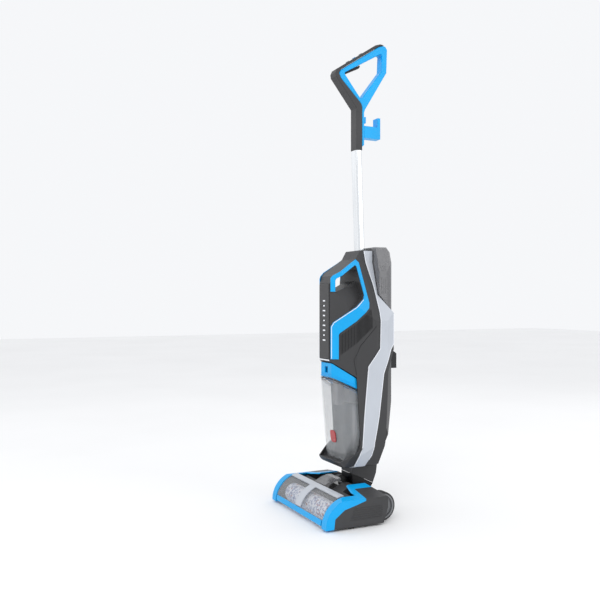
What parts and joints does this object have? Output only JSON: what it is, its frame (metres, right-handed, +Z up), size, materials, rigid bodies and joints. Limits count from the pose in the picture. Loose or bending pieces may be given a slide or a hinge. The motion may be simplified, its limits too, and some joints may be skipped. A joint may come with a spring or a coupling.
{
  "type": "wet dry floor scrubber",
  "caption": "Upright floor scrubber: wide brush head on wheels, swivel neck, tall body with two water tanks, thin tube and looped handle.",
  "frame": {"origin": "on the floor, under the middle of the machine's overall length and width", "axes": "+Z up, -Y is the front (the brush window leads), X across the head"},
  "size_m": [0.3, 0.275, 1.1645],
  "materials": {
    "shell_dark": "satin moulded plastic",
    "bay_black": "matt moulded plastic",
    "blue": "gloss moulded plastic",
    "silver": "satin silver plastic",
    "tube": "satin anodised",
    "clear": "clear moulded plastic",
    "smoke": "smoked clear plastic",
    "black_gloss": "gloss moulded plastic",
    "rubber": "matt",
    "tyre": "matt",
    "steel": "turned",
    "motor_can": "plain",
    "grey_plastic": "matt",
    "nap": "tufted pile with grey blue flecks",
    "badge": "gloss"
  },
  "bodies": {
    "head": {"base_frame": "shell_dark", "side_panel_left": "shell_dark", "side_panel_right": "shell_dark", "side_trim_left": "blue", "side_trim_right": "blue", "brush_chamber": "bay_black", "suction_duct": "black_gloss", "head_housing": "shell_dark", "brush_motor": "motor_can", "front_glides": "rubber", "drive_belt": "rubber", "axle_pins": "steel", "pivot_pins": "steel", "suction_hose": "rubber"},
    "wheel_left": {"wheel_hub_left": "grey_plastic", "tyre_left": "tyre"},
    "wheel_right": {"wheel_hub_right": "grey_plastic", "tyre_right": "tyre"},
    "drive": {"drive_hub": "grey_plastic"},
    "motor_rotor": {"motor_pulley": "steel"},
    "window": {"brush_window": "clear", "window_bumper": "blue", "window_rib": "silver", "window_duct": "smoke"},
    "brush_end": {"brush_cap": "bay_black"},
    "brush_roll": {"brush_core": "grey_plastic", "brush_nap": "nap"},
    "neck": {"neck_yoke": "bay_black"},
    "upright": {"neck_block": "shell_dark", "front_housing": "shell_dark", "rear_housing": "shell_dark", "bay_liner": "bay_black", "bay_chin": "shell_dark", "silver_panel_left": "silver", "silver_panel_right": "silver", "body_trim_left": "blue", "body_trim_right": "blue", "spine_panel": "shell_dark", "duct_cover": "black_gloss", "lower_cord_hook": "black_gloss", "cord_gland": "rubber", "suction_motor": "motor_can", "fan_housing": "grey_plastic", "solution_pump": "grey_plastic", "tube": "tube", "handle_shell": "shell_dark", "handle_loop": "blue"},
    "fan": {"impeller": "grey_plastic"},
    "dirty_tank": {"dirty_tank": "clear", "tank_badge": "badge"},
    "lid": {"tank_lid": "blue", "intake_column": "smoke", "strainer": "grey_plastic"},
    "clean_tank": {"clean_tank": "smoke", "valve_cap": "bay_black"},
    "trigger": {"trigger": "bay_black"},
    "power_button": {"power_button": "grey_plastic"},
    "floor_button": {"floor_button": "blue"},
    "rug_button": {"rug_button": "grey_plastic"},
    "hook": {"upper_cord_hook": "blue"}
  },
  "joints": [
    {"name": "wheel_left_spin", "type": "hinge", "parent": "head", "child": "wheel_left", "pos_m": [-0.1105, 0.0275, 0.034], "axis": [1, 0, 0], "continuous": true},
    {"name": "wheel_right_spin", "type": "hinge", "parent": "head", "child": "wheel_right", "pos_m": [0.1105, 0.0275, 0.034], "axis": [1, 0, 0], "continuous": true},
    {"name": "drive_spin", "type": "hinge", "parent": "head", "child": "drive", "pos_m": [-0.14, -0.0945, 0.027], "axis": [1, 0, 0], "continuous": true},
    {"name": "motor_spin", "type": "hinge", "parent": "head", "child": "motor_rotor", "pos_m": [-0.14, -0.0385, 0.036], "axis": [1, 0, 0], "continuous": true},
    {"name": "window_off", "type": "slide", "parent": "head", "child": "window", "axis": [0, -0.9598, 0.2807], "range_m": [0, 0.28]},
    {"name": "brush_out", "type": "slide", "parent": "head", "child": "brush_end", "axis": [0, -0.9598, 0.2807], "range_m": [0, 0.16]},
    {"name": "brush_spin", "type": "hinge", "parent": "brush_end", "child": "brush_roll", "pos_m": [0.1, -0.0945, 0.027], "axis": [1, 0, 0], "continuous": true},
    {"name": "neck_tilt", "type": "hinge", "parent": "head", "child": "neck", "pos_m": [0, 0.0275, 0.052], "axis": [-1, 0, 0], "range_deg": [0, 70]},
    {"name": "swivel", "type": "hinge", "parent": "neck", "child": "upright", "pos_m": [0, 0.0275, 0.08], "axis": [0, 0.4131, 0.9107], "range_deg": [-20, 20]},
    {"name": "fan_spin", "type": "hinge", "parent": "upright", "child": "fan", "pos_m": [0, 0.0025, 0.49], "axis": [0, 0, 1], "continuous": true},
    {"name": "dirty_tank_out", "type": "slide", "parent": "upright", "child": "dirty_tank", "axis": [0, -0.9854, 0.17], "range_m": [0, 0.23]},
    {"name": "lid_off", "type": "slide", "parent": "dirty_tank", "child": "lid", "axis": [0, 0, 1], "range_m": [0, 0.1]},
    {"name": "clean_tank_lift", "type": "slide", "parent": "upright", "child": "clean_tank", "axis": [0, 0, 1], "range_m": [0, 0.25]},
    {"name": "trigger_pull", "type": "slide", "parent": "upright", "child": "trigger", "axis": [0, -0.5, 0.866], "range_m": [0, 0.003], "stiffness_N_per_m": 600, "springref_m": -0.001},
    {"name": "power_press", "type": "slide", "parent": "upright", "child": "power_button", "axis": [0, 0.553, -0.8332], "range_m": [0, 0.0008], "stiffness_N_per_m": 800, "springref_m": -0.0005},
    {"name": "floor_press", "type": "slide", "parent": "upright", "child": "floor_button", "axis": [0, 0.553, -0.8332], "range_m": [0, 0.0008], "stiffness_N_per_m": 800, "springref_m": -0.0005},
    {"name": "rug_press", "type": "slide", "parent": "upright", "child": "rug_button", "axis": [0, 0.553, -0.8332], "range_m": [0, 0.0008], "stiffness_N_per_m": 800, "springref_m": -0.0005},
    {"name": "hook_swivel", "type": "hinge", "parent": "upright", "child": "hook", "pos_m": [0, 0.0485, 0.94], "axis": [0, 1, 0], "range_deg": [0, 180]}
  ],
  "couplings": [
    {"joint": "drive_spin", "follows": "brush_spin", "ratio": 1},
    {"joint": "motor_spin", "follows": "brush_spin", "ratio": 1.8571},
    {"joint": "brush_out", "follows": "window_off", "ratio": 0.55},
    {"joint": "lid_off", "follows": "dirty_tank_out", "ratio": 0.42}
  ]
}
